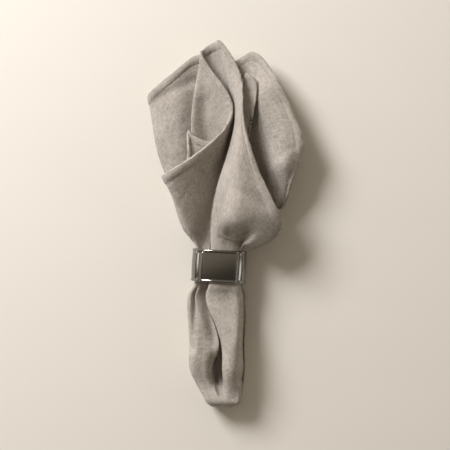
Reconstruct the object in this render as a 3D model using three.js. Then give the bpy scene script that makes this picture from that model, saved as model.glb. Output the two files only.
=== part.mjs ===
// A square linen napkin, picked up near its middle, drawn through a metal ring and fanned out above it.
// Millimetres, +Z up. X runs across the napkin, Y runs from the tail below the ring to the fan above it.
// The origin is on the table, under the middle of the whole thing.
import * as THREE from "three";

// Driving sizes of the cloth
const CLOTH_THICKNESS = 1.0;
const HEM_THICKNESS = 1.6;
const HEM_WIDTH = 8;
const STEPS_BETWEEN_FOLDS = 2;

// Driving sizes of the ring
const RING_X = -4.8;
const RING_Y = -32.8;
const RING_TURN_DEG = -3.3;
const RING_WIDTH = 26;
const RING_END_RADIUS = 21.5;
const RING_BULGE = 0.5;
const RING_BORE_RADIUS = 20.3;
const BEAD_WIDTH = 2.2;
const BEAD_HEIGHT = 0.6;
const RIB_HEIGHT = 0.6;
const RIB_HALF_ANGLE = 2.6;
const FLUTE_DEPTH = 0.35;
const RIB_PAIR_ANGLES = [48, 132, 228, 312];
const RIB_APART = 9.5;
const RING_CUT_DEG = 6;
const CLOSEST_CUT_DEG = 0.4;
const RIB_CUTS = [-1, -0.5, 0, 0.5, 1];
const WALL_CUTS = [-1, -0.96, -0.91, -0.86, -0.8, 0, 0.8, 0.86, 0.91, 0.96, 1];
const RING_RADIUS = Math.max(...ringWall().map((cut) => cut.radius));
const RING_FLATNESS = 0.75;
const RING_MIDDLE_Z = RING_RADIUS * RING_FLATNESS;

// Levels along the cloth, as Y
const TIP_Y = -147;
const LIP_Y = -139;
const LOBE_Y = -118;
const GATHER_Y = -95;
const BULGE_Y = -57;
const RING_CLEAR = 1.6;
const RING_LOW_Y = RING_Y - RING_WIDTH / 2 - RING_CLEAR;
const RING_HIGH_Y = RING_Y + RING_WIDTH / 2 + RING_CLEAR;
const LYING_Z = CLOTH_THICKNESS / 2;
const SETTLED_BELOW_Z = 0.3;
const PACKED_RADIUS = 19;
const BORE_FLOOR_Z = RING_MIDDLE_Z - PACKED_RADIUS * RING_FLATNESS;

// Every fold is followed from the tip of the tail, through the ring, out to the border of the cloth.
// A row is one fold or the middle of one layer, in the order in which they follow each other round the cloth.
const FOLD_COLUMNS = [
  "fold", "tailX", "tailZ", "ringX", "ringZ",
  "lowX", "lowY", "lowZ", "highX", "highY", "highZ", "endX", "endY", "endZ",
];
const FRONT_FOLDS = table(FOLD_COLUMNS, [
  ["valley", -11, 20, -13.5, 19.45, -10.9, 12, 15.6, -2.2, 50, 15.2, 5.4, 89.6, 28.8],
  ["front inner", -11.8, 22, -15.1, 19.85, -12.8, 10, 16.6, -5.8, 44, 17.2, 2.2, 80, 32.6],
  ["front low", -14, 22.6, -16.9, 20.2, -15, 8, 18.6, -10.5, 40, 20.4, -7.5, 68.5, 36],
  ["front middle", -19, 23.4, -19.4, 20.9, -21.6, 6, 26, -25, 30, 31.4, -27, 52.8, 40],
  ["front crest", -25.4, 24, -22.3, 22.4, -30.4, 0, 31, -40, 24, 39, -47, 40.6, 42.6],
  ["left outline", -28, 13, -23.6, 16.12, -33.4, -3, 22.4, -42.6, 24, 27.6, -49.8, 39.3, 31.4],
  ["under left", -24, 2.5, -21.2, 9.9, -31, 0, 5, -41, 24, 3.2, -47.5, 41, 3],
  ["under foot", -20, 0.5, -14.6, 4.72, -24, 8, 0.9, -37, 38, 0.5, -46, 66, 0.5],
]);
const BACK_FOLDS = table(FOLD_COLUMNS, [
  ["leaf under", -2.9, 0.5, -16.6, 10.05, -31, 12.5, 7.4, -48.4, 51, 6.7, -59.2, 102, 6.4],
  ["leaf outline", -2, 0.5, -18.4, 11.55, -33.5, 11, 9.8, -51.9, 51, 9.6, -62.6, 104, 9.4],
  ["leaf middle", -0.4, 0.5, -12, 12.45, -26, 20, 11.2, -38, 76, 14.8, -42.5, 122, 14.4],
  ["leaf crevice", 1, 0.5, -6, 12.45, -16, 20, 8.9, -22, 84, 7.8, -21, 137.5, 10],
  ["back middle", 2.2, 0.5, -1, 12.45, -3, 22, 8.9, -4, 84, 7.8, -2, 128, 9],
  ["flap top", 3.5, 0.5, 4, 12.6, 7, 22, 9.2, 10, 84, 8.4, 9, 132.5, 12],
  ["flap corner", 4.8, 0.5, 6.5, 12.75, 12, 22, 9.7, 19, 84, 12.6, 23, 139, 17],
  ["flap upper", 6, 0.6, 9, 13.05, 20, 18, 10.6, 33, 70, 19, 44.4, 110.5, 27],
  ["flap middle", 7.2, 0.9, 11, 13.5, 26, 12, 12, 40, 56, 22.5, 59.7, 75.8, 33],
  ["flap low", 8.6, 1.6, 12.4, 14.1, 29.4, 7, 12.6, 39, 47, 22.4, 63, 62, 35.5],
  ["flap side", 9.2, 2, 13.4, 14.6, 30.4, 2.4, 12.6, 44, 26, 18, 55.5, 40, 27],
  ["flap turn", 9.8, 2.6, 14.2, 15.4, 28.6, -2.4, 13.4, 39.4, 6.4, 14, 45.4, 13, 18.6],
  ["flap over", 10.4, 3.4, 11.6, 16.4, 24.6, 1, 17.6, 31, 11, 20, 37, 17, 22],
  ["pleat under", 11, 4.2, 7, 16.42, 14, 12, 19.2, 15, 44, 19.8, 16, 72, 19.4],
  ["pleat inner", 11.4, 5, -1.5, 16.42, 4, 15, 18.4, 10, 49, 18.8, 13.4, 86, 17.8],
  ["pleat turn", 11.8, 5.8, -4.6, 17.8, 2, 16, 20.4, 8, 50, 20.8, 11.6, 88, 19.4],
  ["pleat top", 12.2, 6.8, 4, 19.5, 9, 16, 23.2, 10.6, 84, 23.5, 17, 121.5, 21],
  ["pleat edge", 12.6, 7.8, 8, 19.95, 12.5, 14, 24.4, 12.6, 76, 24.8, 25.2, 113.5, 22.5],
  ["pleat side", 12.9, 8.8, 9, 19.95, 14.2, 9, 24.8, 15, 66, 25.2, 24.6, 100, 23.5],
  ["pleat low", 13.2, 9.8, 11, 19.8, 16.6, 2, 25, 15.8, 50, 26, 20.2, 80, 25],
  ["pleat foot", 14.2, 12.4, 11.7, 19.58, 19.6, -4, 26.2, 19, 14, 28, 17, 60, 27],
  ["shoulder under", 14.8, 15.4, 12.3, 19.35, 22.6, -13, 27.2, 37, -5, 29.8, 42.5, 7.5, 31.6],
  ["shoulder turn", 15.4, 20, 13.5, 20.62, 25.5, -18.5, 29, 40, -9.5, 32.2, 45.5, 3.2, 34],
  ["shoulder", 13, 30.4, 11.6, 24, 17.6, -10, 39, 28.2, 4, 43, 38.2, 18, 42.4],
  ["panel right", 9.6, 33.6, 6, 27.97, 8.6, -4, 46, 14, 24, 49.6, 24, 49.3, 41],
  ["panel middle", 5.6, 34.6, -1, 30.15, 1.6, 0, 45, 8.4, 42, 46, 15, 84, 36],
  ["panel upper", 1.8, 34, -6.5, 30.53, -4.4, 7, 38.6, 6.4, 60, 36.4, 13.9, 112, 29.5],
  ["panel ridge", -1.5, 28, -11.6, 29.25, -9.4, 15.6, 28.6, 7.4, 79, 28, 8.5, 129.5, 24.5],
  ["ridge wall", -1.8, 14, -11.1, 23.62, -8.4, 15.6, 22, 7.6, 79, 22, -4.8, 147.6, 21],
  ["wall foot", -2.2, 6, -10.6, 17.62, -8.2, 15.6, 12.6, 6.2, 79, 13.4, -8.5, 146.3, 19],
  ["tuck under", -2.7, 3.4, -13.5, 14.55, -13, 18, 10.6, -9, 72, 9.8, -13.5, 143.8, 19],
  ["roll under", -3.3, 2.8, -18.6, 14.4, -20, 16.5, 12.4, -24.2, 78, 16.4, -17.4, 140.4, 21],
  ["roll ridge", -4, 2.4, -21, 15.6, -22.5, 16, 14.6, -26.8, 78, 21.2, -19, 138, 24],
  ["roll upper", -4.8, 3, -19.4, 17, -18.5, 20, 14.8, -18, 78, 18.2, -12.5, 126, 25.4],
  ["roll middle", -5.6, 3.7, -18.4, 17.2, -14, 16, 12.8, -9.5, 54, 11.9, 1.5, 106.4, 28],
  ["roll edge", -6.3, 4.4, -17.7, 17.3, -13, 15.4, 12.9, -6, 53, 11.9, 6.2, 94, 28],
  ["corner turn", -7, 5.1, -17, 17.4, -12.3, 15, 13.1, -3.8, 50.5, 13.2, 0, 72, 24],
  ["corner edge", -7.6, 5.8, -16.3, 17.5, -11.6, 14.6, 13.4, -12, 48, 16.8, -13, 66.6, 23.4],
  ["corner near", -8.1, 6.5, -15.6, 17.6, -11.3, 14.3, 13.6, -18, 47.5, 17.4, -24.4, 71, 23],
  ["corner tip", -8.6, 7.4, -15, 17.7, -11.1, 14, 13.8, -21.6, 46, 18.6, -29.4, 75.6, 22.6],
  ["corner low", -9.1, 8.5, -14.4, 17.85, -10.9, 13.7, 14, -21.8, 42, 20, -29.8, 62, 24.4],
  ["corner side", -9.6, 9.8, -13.8, 18.05, -10.7, 13.4, 14.3, -20.6, 38, 20.6, -28.5, 48, 26],
  ["corner back", -10.1, 11.6, -13.3, 18.4, -10.5, 12.9, 14.6, -9, 40, 15.8, -10, 55, 24],
  ["valley inner", -10.6, 14.6, -13.1, 18.95, -10.5, 12.4, 15, -3.6, 48, 13.8, 3.4, 85.6, 27.6],
]);

// The layers that lie hidden under the fan. Each runs back over the one below it from a turn at its far side.
// In the ring they lie as arcs inside each other.
const HIDDEN_RING_PITCH = 2.7;
const HIDDEN_RING_ANGLE = 40;
const HIDDEN_TAIL_X = -17.4;
const HIDDEN_TAIL_STEP = 1.15;
const HIDDEN_SETTLED = 0.75;
const TURN_ROUNDING = 2;
const TURN_ROUNDING_ANGLE = 7;
const HIDDEN_LOW_Y = 12;
const HIDDEN_HIGH_Y = 74;
const HIDDEN_LAYERS = table(
  ["layer", "highZ", "endZ", "midX", "endX", "endY", "turnLowX", "turnX", "turnY", "turnEndX", "turnEndY"],
  [
    ["first", 0.5, 0.5, -6, -9, 124, 22, 40, 42, 56, 70],
    ["second", 2.3, 2.3, -3, 1, 116, -23, -40, 56, -54, 96],
    ["third", 4.1, 4, -7, -11, 127, 24, 43, 38, 60, 63],
    ["fourth", 5.9, 5.7, -4, 3, 120, 0, 0, 0, 0, 0],
  ],
);

// The top of the tail is two lobes with a pocket between them, which closes in one lip
const FIRST_LOBE_FOLD = "shoulder";
const LAST_LOBE_FOLD = "front crest";
const LIP_Z = 26;
const LIP_SQUEEZE = 0.664;
const LIP_SHIFT_X = 2.3;
const TIP = new THREE.Vector3(-1, TIP_Y, 8);
const BULGE_SPREAD = 1.24;
const BULGE_HEIGHT = 0.95;
const GATHER_SPREAD = 0.05;
const FRONT_GATHER_SPREAD = -1;
const HIDDEN_GATHER_SPREAD = 0.02;
const HIDDEN_GATHER_PITCH = 1.4;
const GATHER_LIFT = 0.55;

// How many steps lie between one level of the cloth and the next
const LEVEL_STEPS = [
  ["tip to lip", 3],
  ["lip to lobe", 2],
  ["lobe to gather", 2],
  ["gather to bulge", 3],
  ["bulge to ring", 2],
  ["through the ring", 1],
  ["ring to low fan", 3],
  ["low to high fan", 4],
  ["high fan to border", 4],
];

const linen = new THREE.MeshStandardMaterial({ color: 0xb9b0a4, roughness: 0.95, metalness: 0 });
const pewter = new THREE.MeshStandardMaterial({ color: 0x8d8b88, roughness: 0.2, metalness: 1 });

function table(columns, rows) {
  return rows.map((row) => Object.fromEntries(columns.map((column, index) => [column, row[index]])));
}

function mix(from, to, share) {
  return from + (to - from) * share;
}

// A smooth curve through four points, read between the second and the third
function smoothPoint(before, from, to, after, share) {
  const curve = new THREE.CatmullRomCurve3([before, from, to, after], false, "centripetal");
  return curve.getPoint((1 + share) / 3);
}

// Where the ring's axis stands at a level, as it lies a little turned
function ringAxisX(y) {
  return RING_X - (y - RING_Y) * Math.tan(THREE.MathUtils.degToRad(RING_TURN_DEG));
}

// The rows of the hidden layers: the middle of each, and three rows round its turn to the next
function hiddenFolds() {
  const folds = [];
  const addFold = (layer, height, angle, low, high, end) => {
    const reach = PACKED_RADIUS - height * HIDDEN_RING_PITCH;
    const turn = THREE.MathUtils.degToRad(angle);
    const ringZ = RING_MIDDLE_Z - reach * Math.cos(turn) * RING_FLATNESS;
    folds.push({
      tailX: HIDDEN_TAIL_X + folds.length * HIDDEN_TAIL_STEP,
      tailZ: LYING_Z,
      ringX: RING_X + reach * Math.sin(turn),
      ringZ,
      lowX: low.x,
      lowY: low.y,
      lowZ: mix(ringZ, layer.highZ, HIDDEN_SETTLED),
      highX: high.x,
      highY: high.y,
      highZ: layer.highZ,
      endX: end.x,
      endY: end.y,
      endZ: layer.endZ,
      steps: 1,
      gatherSpread: HIDDEN_GATHER_SPREAD,
      gatherZ: LYING_Z + height * HIDDEN_GATHER_PITCH,
    });
  };
  HIDDEN_LAYERS.forEach((layer, height) => {
    const low = new THREE.Vector2(layer.midX, HIDDEN_LOW_Y);
    const high = new THREE.Vector2(layer.midX, HIDDEN_HIGH_Y);
    addFold(layer, height, 0, low, high, new THREE.Vector2(layer.endX, layer.endY));
    const next = HIDDEN_LAYERS[height + 1];
    if (!next) return;
    const between = { highZ: mix(layer.highZ, next.highZ, 0.5), endZ: mix(layer.endZ, next.endZ, 0.5) };
    const side = Math.sign(layer.turnX);
    for (const [heights, share, inset] of [[layer, 0, 1], [between, 0.5, 0], [next, 1, 1]]) {
      const angle = side * (HIDDEN_RING_ANGLE - inset * TURN_ROUNDING_ANGLE);
      const turnLow = new THREE.Vector2(layer.turnLowX - side * inset * TURN_ROUNDING, HIDDEN_LOW_Y);
      const turn = new THREE.Vector2(layer.turnX - side * inset * TURN_ROUNDING, layer.turnY);
      const turnEnd = new THREE.Vector2(layer.turnEndX - side * inset * TURN_ROUNDING, layer.turnEndY);
      addFold(heights, height + share, angle, turnLow, turn, turnEnd);
    }
  });
  return folds;
}

// Every fold in its order round the cloth. The gather draws the front over the pocket: most at the valley, not
// at all from the front's crest on.
function allFolds() {
  const crest = FRONT_FOLDS.findIndex((fold) => fold.fold === LAST_LOBE_FOLD);
  const front = FRONT_FOLDS.map((fold, index) => ({
    ...fold,
    gatherSpread: FRONT_GATHER_SPREAD * Math.max(0, 1 - index / crest),
  }));
  const folds = [...front, ...hiddenFolds(), ...BACK_FOLDS];
  const place = (name) => folds.findIndex((fold) => fold.fold === name);
  const [first, last] = [place(FIRST_LOBE_FOLD), place(LAST_LOBE_FOLD)];
  return folds.map((fold, index) => ({ ...fold, lobed: index >= first || index <= last }));
}

// The levels that one fold passes through, from the lip of the tail to the border
function foldLevels(fold) {
  const ringSide = fold.ringX - RING_X;
  const bulgeX = ringAxisX(BULGE_Y) + ringSide * BULGE_SPREAD;
  const bulgeZ = (fold.ringZ - BORE_FLOOR_Z) * BULGE_HEIGHT + LYING_Z;
  const gatherX = mix(fold.tailX, bulgeX, fold.gatherSpread ?? GATHER_SPREAD);
  const gatherZ = fold.gatherZ ?? mix(fold.tailZ, bulgeZ, GATHER_LIFT);
  return [
    new THREE.Vector3(LIP_SHIFT_X + fold.tailX * LIP_SQUEEZE, LIP_Y, fold.lobed ? LIP_Z : fold.tailZ),
    new THREE.Vector3(fold.tailX, LOBE_Y, fold.tailZ),
    new THREE.Vector3(gatherX, GATHER_Y, gatherZ),
    new THREE.Vector3(bulgeX, BULGE_Y, bulgeZ),
    new THREE.Vector3(ringAxisX(RING_LOW_Y) + ringSide, RING_LOW_Y, fold.ringZ),
    new THREE.Vector3(ringAxisX(RING_HIGH_Y) + ringSide, RING_HIGH_Y, fold.ringZ),
    new THREE.Vector3(fold.lowX, fold.lowY, fold.lowZ),
    new THREE.Vector3(fold.highX, fold.highY, fold.highZ),
    new THREE.Vector3(fold.endX, fold.endY, fold.endZ),
  ];
}

// The rounded end of the tail: a quarter of an ellipse from the lip down to the tip
function tipPoints(lip, steps) {
  const points = [];
  for (let step = 1; step < steps; step += 1) {
    const angle = (Math.PI / 2) * (step / steps);
    const point = new THREE.Vector3().lerpVectors(TIP, lip, Math.sin(angle));
    point.y = mix(lip.y, TIP_Y, Math.cos(angle));
    points.push(point);
  }
  return points;
}

// One fold as a row of points, from beside the tip to the border, with a step at the hem's inner edge
function foldPoints(fold) {
  const levels = foldLevels(fold);
  const points = [...tipPoints(levels[0], LEVEL_STEPS[0][1]), levels[0]];
  for (let index = 0; index + 1 < levels.length; index += 1) {
    const from = levels[index];
    const to = levels[index + 1];
    const before = levels[index - 1] ?? from;
    const after = levels[index + 2] ?? to.clone().multiplyScalar(2).sub(from).lerp(to, 0.5);
    const steps = LEVEL_STEPS[index + 1][1];
    const last = index + 2 === levels.length;
    const plainShare = last ? 1 - HEM_WIDTH / from.distanceTo(to) : 1;
    for (let step = 1; step <= steps; step += 1) {
      points.push(smoothPoint(before, from, to, after, plainShare * (step / steps)));
    }
    if (last) points.push(to.clone());
  }
  return points;
}

// The middle of the cloth as a grid: closed round the folds, open at the border
function clothGrid() {
  const folds = allFolds();
  const rows = folds.map(foldPoints);
  const count = rows.length;
  const grid = [];
  for (let index = 0; index < count; index += 1) {
    const before = rows[(index + count - 1) % count];
    const from = rows[index];
    const to = rows[(index + 1) % count];
    const after = rows[(index + 2) % count];
    const steps = folds[index].steps ?? STEPS_BETWEEN_FOLDS;
    for (let step = 0; step < steps; step += 1) {
      grid.push(from.map((_, level) =>
        smoothPoint(before[level], from[level], to[level], after[level], step / steps)));
    }
  }
  for (const row of grid) {
    for (const point of row) point.z = Math.max(point.z, LYING_Z);
  }
  return grid;
}

function gridNormals(grid) {
  const columns = grid.length;
  const levels = grid[0].length;
  return grid.map((row, column) => row.map((_, level) => {
    const left = grid[(column + columns - 1) % columns][level];
    const right = grid[(column + 1) % columns][level];
    const below = level === 0 ? TIP : row[level - 1];
    const above = row[Math.min(level + 1, levels - 1)];
    const across = new THREE.Vector3().subVectors(right, left);
    const along = new THREE.Vector3().subVectors(above, below);
    return across.cross(along).normalize();
  }));
}

// The cloth's two faces, joined along the border, with one point each at the tip.
// What lies lowest is set flat on the table.
function napkinGeometry() {
  const grid = clothGrid();
  const normals = gridNormals(grid);
  const columns = grid.length;
  const levels = grid[0].length;
  const positions = [];
  const indices = [];
  const addPoint = (point) => {
    positions.push(point.x, point.y, point.z < SETTLED_BELOW_Z ? 0 : point.z);
    return positions.length / 3 - 1;
  };
  const face = (side) => grid.map((row, column) => row.map((point, level) => {
    const thickness = level >= levels - 2 ? HEM_THICKNESS : CLOTH_THICKNESS;
    return addPoint(point.clone().addScaledVector(normals[column][level], side * thickness / 2));
  }));
  const outer = face(1);
  const inner = face(-1);
  const outerTip = addPoint(new THREE.Vector3(TIP.x, TIP.y - CLOTH_THICKNESS / 2, TIP.z));
  const innerTip = addPoint(new THREE.Vector3(TIP.x, TIP.y + CLOTH_THICKNESS / 2, TIP.z));
  const addQuad = (a, b, c, d) => indices.push(a, b, c, a, c, d);
  for (let column = 0; column < columns; column += 1) {
    const next = (column + 1) % columns;
    indices.push(outerTip, outer[next][0], outer[column][0]);
    indices.push(innerTip, inner[column][0], inner[next][0]);
    for (let level = 0; level + 1 < levels; level += 1) {
      addQuad(outer[column][level], outer[next][level], outer[next][level + 1], outer[column][level + 1]);
      addQuad(inner[column][level], inner[column][level + 1], inner[next][level + 1], inner[next][level]);
    }
    const top = levels - 1;
    addQuad(outer[column][top], outer[next][top], inner[next][top], inner[column][top]);
  }
  return closedGeometry(positions, indices);
}

// A closed mesh whose faces are turned to point outwards
function closedGeometry(positions, indices) {
  const corner = (index) => new THREE.Vector3().fromArray(positions, index * 3);
  let volume = 0;
  for (let index = 0; index < indices.length; index += 3) {
    const [a, b, c] = [0, 1, 2].map((offset) => corner(indices[index + offset]));
    volume += a.dot(b.cross(c)) / 6;
  }
  if (volume < 0) indices.reverse();
  const geometry = new THREE.BufferGeometry();
  geometry.setAttribute("position", new THREE.Float32BufferAttribute(positions, 3));
  geometry.setIndex(indices);
  geometry.computeVertexNormals();
  return geometry;
}

// A smooth hump of height one at the middle and nothing at the ends
function hump(distance, halfWidth) {
  return Math.abs(distance) >= halfWidth ? 0 : 0.5 + 0.5 * Math.cos(Math.PI * distance / halfWidth);
}

function angleBetween(first, second) {
  return THREE.MathUtils.euclideanModulo(first - second + 180, 360) - 180;
}

// How far a rib stands up, or a flute lies in, at an angle round the ring
function ribRelief(angle) {
  let relief = 0;
  for (const pair of RIB_PAIR_ANGLES) {
    const away = angleBetween(angle, pair);
    relief += RIB_HEIGHT * hump(Math.abs(away) - RIB_APART, RIB_HALF_ANGLE);
    relief -= FLUTE_DEPTH * hump(away, RIB_APART - RIB_HALF_ANGLE);
  }
  return relief;
}

// The angles at which the ring is cut: evenly all round, and closer on each rib
function ringAngles() {
  const angles = [];
  for (let angle = 0; angle < 360; angle += RING_CUT_DEG) angles.push(angle);
  for (const pair of RIB_PAIR_ANGLES) {
    for (const side of [-RIB_APART, RIB_APART]) {
      for (const cut of RIB_CUTS) angles.push(pair + side + cut * RIB_HALF_ANGLE);
    }
  }
  const sorted = angles.sort((first, second) => first - second);
  return sorted.filter((angle, index) => index === 0 || angle - sorted[index - 1] > CLOSEST_CUT_DEG);
}

// The wall of the ring from one end to the other, outside and back along the bore
function ringWall() {
  const half = RING_WIDTH / 2;
  const beadMiddle = half - BEAD_WIDTH / 2;
  const wall = WALL_CUTS.map((share) => {
    const along = share * half;
    const bead = BEAD_HEIGHT * hump(Math.abs(along) - beadMiddle, BEAD_WIDTH / 2);
    const plain = RING_END_RADIUS + RING_BULGE * (1 - share * share);
    return { along, radius: plain + bead, ribbed: Math.abs(along) < half - BEAD_WIDTH };
  });
  for (const share of [1, 0, -1]) wall.push({ along: share * half, radius: RING_BORE_RADIUS, ribbed: false });
  return wall;
}

function ringGeometry() {
  const angles = ringAngles();
  const wall = ringWall();
  const positions = [];
  const indices = [];
  for (const angle of angles) {
    const turn = THREE.MathUtils.degToRad(angle);
    for (const { along, radius, ribbed } of wall) {
      const reach = radius + (ribbed ? ribRelief(angle) : 0);
      positions.push(reach * Math.sin(turn), along, reach * Math.cos(turn) * RING_FLATNESS);
    }
  }
  const at = (column, row) => (column % angles.length) * wall.length + (row % wall.length);
  for (let column = 0; column < angles.length; column += 1) {
    for (let row = 0; row < wall.length; row += 1) {
      const [a, b] = [at(column, row), at(column + 1, row)];
      const [c, d] = [at(column + 1, row + 1), at(column, row + 1)];
      indices.push(a, b, c, a, c, d);
    }
  }
  return closedGeometry(positions, indices);
}

const napkin = new THREE.Mesh(napkinGeometry(), linen);
napkin.name = "napkin";

const ring = new THREE.Mesh(ringGeometry(), pewter);
ring.name = "ring";
ring.position.set(RING_X, RING_Y, RING_MIDDLE_Z);
ring.rotation.z = THREE.MathUtils.degToRad(RING_TURN_DEG);

const part = new THREE.Group();
part.add(napkin, ring);

export default part;
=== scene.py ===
"""A linen napkin, drawn through a polished metal ring and fanned out, dressed round its solid model.

The fold tables are in millimetres, in the frame of the solid model: X across the napkin, Y from the tail to
the fan, Z up from the table. Everything is turned to metres when a mesh is made.
"""

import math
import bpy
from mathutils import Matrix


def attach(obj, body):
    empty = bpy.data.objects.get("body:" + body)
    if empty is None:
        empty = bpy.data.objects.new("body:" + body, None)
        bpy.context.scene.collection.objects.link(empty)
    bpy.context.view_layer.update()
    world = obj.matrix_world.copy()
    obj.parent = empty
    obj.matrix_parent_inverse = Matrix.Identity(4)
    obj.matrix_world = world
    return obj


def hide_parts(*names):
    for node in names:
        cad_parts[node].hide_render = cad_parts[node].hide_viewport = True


bl_info = {
    "name": "Linen napkin in a ring",
    "version": (1, 0, 0),
    "blender": (4, 5, 0),
    "location": "View3D > Sidebar > Napkin",
    "description": "A fanned linen napkin in a polished metal ring, with its hem, stitches and studio",
    "category": "Object",
}

import bpy
import numpy as np
from mathutils import Vector, noise

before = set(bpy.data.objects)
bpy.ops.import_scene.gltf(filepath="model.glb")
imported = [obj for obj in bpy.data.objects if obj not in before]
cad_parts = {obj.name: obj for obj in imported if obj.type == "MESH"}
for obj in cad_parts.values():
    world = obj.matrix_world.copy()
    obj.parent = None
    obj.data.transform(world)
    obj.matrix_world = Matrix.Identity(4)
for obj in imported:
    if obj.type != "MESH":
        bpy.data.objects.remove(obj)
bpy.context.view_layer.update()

MM = 0.001

# The ring, in millimetres and degrees. RIB_APART is from the middle of a pair to each of its two ribs.
RING_X = -4.8
RING_Y = -32.8
RING_TURN_DEG = -3.3
RING_WIDTH = 26
RING_END_RADIUS = 21.5
RING_BULGE = 0.5
RING_BORE_RADIUS = 20.3
BEAD_WIDTH = 2.2
BEAD_HEIGHT = 0.6
RIB_HEIGHT = 0.6
RIB_HALF_ANGLE = 2.6
FLUTE_DEPTH = 0.35
RIB_PAIR_ANGLES = (48, 132, 228, 312)
RIB_APART = 9.5
RIB_FADE = 0.5
BARREL_UNDER_BEAD = 0.08
RING_RADIUS = RING_END_RADIUS + BEAD_HEIGHT + BARREL_UNDER_BEAD
RING_FLATNESS = 0.75
RING_MIDDLE_Z = RING_RADIUS * RING_FLATNESS
RING_CUTS = 720
BORE_CUTS = 8

# Levels along the cloth, as Y in millimetres
TIP_Y = -147
LIP_Y = -139
LOBE_Y = -118
GATHER_Y = -95
BULGE_Y = -57
RING_CLEAR = 1.6
RING_LOW_Y = RING_Y - RING_WIDTH / 2 - RING_CLEAR
RING_HIGH_Y = RING_Y + RING_WIDTH / 2 + RING_CLEAR

# How the cloth lies on the table and fills the ring, in millimetres
LYING_Z = 0.5
LOWEST_Z = 0.1
PACKED_RADIUS = 19
BORE_FLOOR_Z = RING_MIDDLE_Z - PACKED_RADIUS * RING_FLATNESS

# Every fold is followed from the tip of the tail, through the ring, out to the border of the cloth.
# A row is one fold, or the middle of one layer, in the order in which they follow round the cloth.
FOLD_COLUMNS = (
    "fold", "tailX", "tailZ", "ringX", "ringZ",
    "lowX", "lowY", "lowZ", "highX", "highY", "highZ", "endX", "endY", "endZ",
)
FRONT_FOLDS = (
    ("valley", -11, 20, -13.5, 19.45, -10.9, 12, 15.6, -2.2, 50, 15.2, 5.4, 89.6, 28.8),
    ("front inner", -11.8, 22, -15.1, 19.85, -12.8, 10, 16.6, -5.8, 44, 17.2, 2.2, 80, 32.6),
    ("front low", -14, 22.6, -16.9, 20.2, -15, 8, 18.6, -10.5, 40, 20.4, -7.5, 68.5, 36),
    ("front middle", -19, 23.4, -19.4, 20.9, -21.6, 6, 26, -25, 30, 31.4, -27, 52.8, 40),
    ("front crest", -25.4, 24, -22.3, 22.4, -30.4, 0, 31, -40, 24, 39, -47, 40.6, 42.6),
    ("left outline", -28, 13, -23.6, 16.12, -33.4, -3, 22.4, -42.6, 24, 27.6, -49.8, 39.3, 31.4),
    ("under left", -24, 2.5, -21.2, 9.9, -31, 0, 5, -41, 24, 3.2, -47.5, 41, 3),
    ("under foot", -20, 0.5, -14.6, 4.72, -24, 8, 0.9, -37, 38, 0.5, -46, 66, 0.5),
)
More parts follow.
